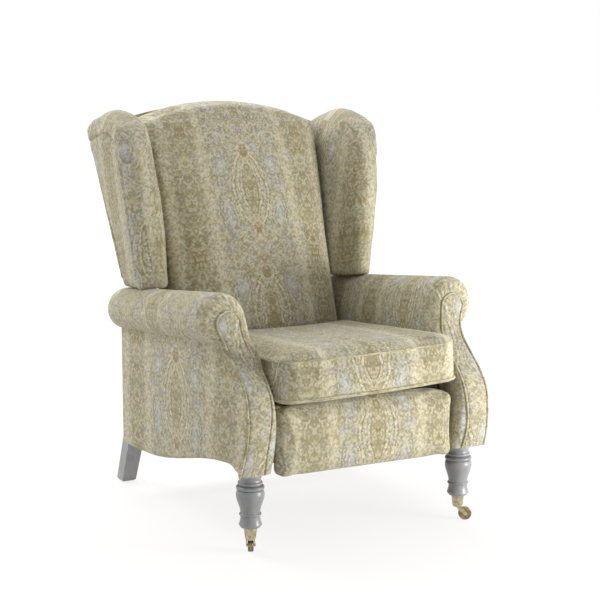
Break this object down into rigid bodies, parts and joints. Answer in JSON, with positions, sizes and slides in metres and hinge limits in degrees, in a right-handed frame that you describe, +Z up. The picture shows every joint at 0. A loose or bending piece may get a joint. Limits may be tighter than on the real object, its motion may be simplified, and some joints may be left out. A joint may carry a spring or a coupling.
{
  "type": "wingback recliner",
  "caption": "Push-back wingback recliner with scroll arms, swing-out footrest panel, turned front legs on castors and raked square rear legs",
  "frame": {"origin": "on the floor, under the middle of the chair's outer box", "axes": "+X to the sitter's left, -Y the way the sitter faces, +Z up"},
  "size_m": [0.8056, 0.9645, 1.086],
  "materials": {
    "upholstery_fabric": "woven striped cotton-viscose cover over foam",
    "painted_wood": "grey satin paint on turned beech",
    "frame_timber": "planed beech, bare",
    "brass": "aged brass",
    "castor_wheel": "darkened brass wheel",
    "black_steel": "black coated pressed steel",
    "bright_steel": "zinc plated",
    "deck_cloth": "non-woven platform cloth"
  },
  "bodies": {
    "base": {"front_leg_left": "painted_wood", "front_leg_right": "painted_wood", "rear_leg_left": "painted_wood", "rear_leg_right": "painted_wood", "castor_cup_left": "brass", "castor_cup_right": "brass", "front_post_left": "frame_timber", "front_post_right": "frame_timber", "side_rail_left": "frame_timber", "side_rail_right": "frame_timber", "arm_rail_left": "frame_timber", "arm_rail_right": "frame_timber", "rear_post_left": "frame_timber", "rear_post_right": "frame_timber", "arm_facing_left": "upholstery_fabric", "arm_facing_right": "upholstery_fabric", "arm_pad_left": "upholstery_fabric", "arm_pad_right": "upholstery_fabric", "side_panel_left": "upholstery_fabric", "side_panel_right": "upholstery_fabric", "mechanism_plate_left": "black_steel", "mechanism_plate_right": "black_steel", "front_rail": "frame_timber", "rear_rail": "frame_timber", "rear_panels": "upholstery_fabric", "pivot_pins": "bright_steel", "frame_bolts": "bright_steel", "seat_rails": "frame_timber", "seat_springs": "bright_steel", "seat_deck": "deck_cloth", "seat_cushion": "upholstery_fabric"},
    "back": {"back_upright_left": "frame_timber", "back_upright_right": "frame_timber", "wing_frame_left": "frame_timber", "wing_frame_right": "frame_timber", "wing_pad_left": "upholstery_fabric", "wing_pad_right": "upholstery_fabric", "crest_rail": "frame_timber", "back_bottom_rail": "frame_timber", "back_springs": "bright_steel", "outside_back": "upholstery_fabric", "hinge_straps": "black_steel", "strap_rivets": "bright_steel", "back_pad": "upholstery_fabric"},
    "swing": {"swing_arms": "black_steel", "torque_tube": "black_steel", "swing_rivets": "bright_steel"},
    "carrier": {"carrier_links": "black_steel", "carrier_rivets": "bright_steel"},
    "guide": {"guide_links": "black_steel"},
    "rods": {"drive_rods": "black_steel"},
    "footrest": {"footrest_brackets": "black_steel", "footrest_board": "frame_timber", "footrest_pad": "upholstery_fabric"},
    "castor_left": {"castor_fork_left": "brass"},
    "castor_right": {"castor_fork_right": "brass"},
    "wheel_left": {"castor_wheel_left": "castor_wheel"},
    "wheel_right": {"castor_wheel_right": "castor_wheel"}
  },
  "joints": [
    {"name": "back_recline", "type": "hinge", "parent": "base", "child": "back", "pos_m": [0, 0.2578, 0.335], "axis": [-1, 0, 0], "range_deg": [0, 30]},
    {"name": "swing_arm_turn", "type": "hinge", "parent": "base", "child": "swing", "pos_m": [0, -0.1612, 0.362], "axis": [-1, 0, 0], "range_deg": [0, 102]},
    {"name": "carrier_turn", "type": "hinge", "parent": "swing", "child": "carrier", "pos_m": [0, -0.11058, 0.22293], "axis": [1, 0, 0], "range_deg": [0, 122.6]},
    {"name": "footrest_turn", "type": "hinge", "parent": "carrier", "child": "footrest", "pos_m": [0, -0.37972, 0.34614], "axis": [-1, 0, 0], "range_deg": [0, 110.6]},
    {"name": "guide_link_turn", "type": "hinge", "parent": "base", "child": "guide", "pos_m": [0, -0.1039, 0.3518], "axis": [-1, 0, 0], "range_deg": [0, 99.37]},
    {"name": "drive_rod_turn", "type": "hinge", "parent": "back", "child": "rods", "pos_m": [0, 0.28832, 0.27761], "axis": [1, 0, 0], "range_deg": [0, 28.99]},
    {"name": "castor_swivel_left", "type": "hinge", "parent": "base", "child": "castor_left", "pos_m": [0.303, -0.3872, 0.05], "axis": [0, 0, 1], "continuous": true},
    {"name": "castor_roll_left", "type": "hinge", "parent": "castor_left", "child": "wheel_left", "pos_m": [0.32154, -0.39469, 0.017], "axis": [-0.3746, -0.9272, 0], "continuous": true},
    {"name": "castor_swivel_right", "type": "hinge", "parent": "base", "child": "castor_right", "pos_m": [-0.303, -0.3872, 0.05], "axis": [0, 0, 1], "continuous": true},
    {"name": "castor_roll_right", "type": "hinge", "parent": "castor_right", "child": "wheel_right", "pos_m": [-0.29361, -0.36954, 0.017], "axis": [0.8829, -0.4695, 0], "continuous": true}
  ],
  "couplings": [
    {"joint": "swing_arm_turn", "follows": "back_recline", "ratio": 3.4},
    {"joint": "carrier_turn", "follows": "back_recline", "ratio": 4.0867},
    {"joint": "footrest_turn", "follows": "back_recline", "ratio": 3.6867},
    {"joint": "guide_link_turn", "follows": "back_recline", "ratio": 3.3124},
    {"joint": "drive_rod_turn", "follows": "back_recline", "ratio": 0.96633}
  ]
}
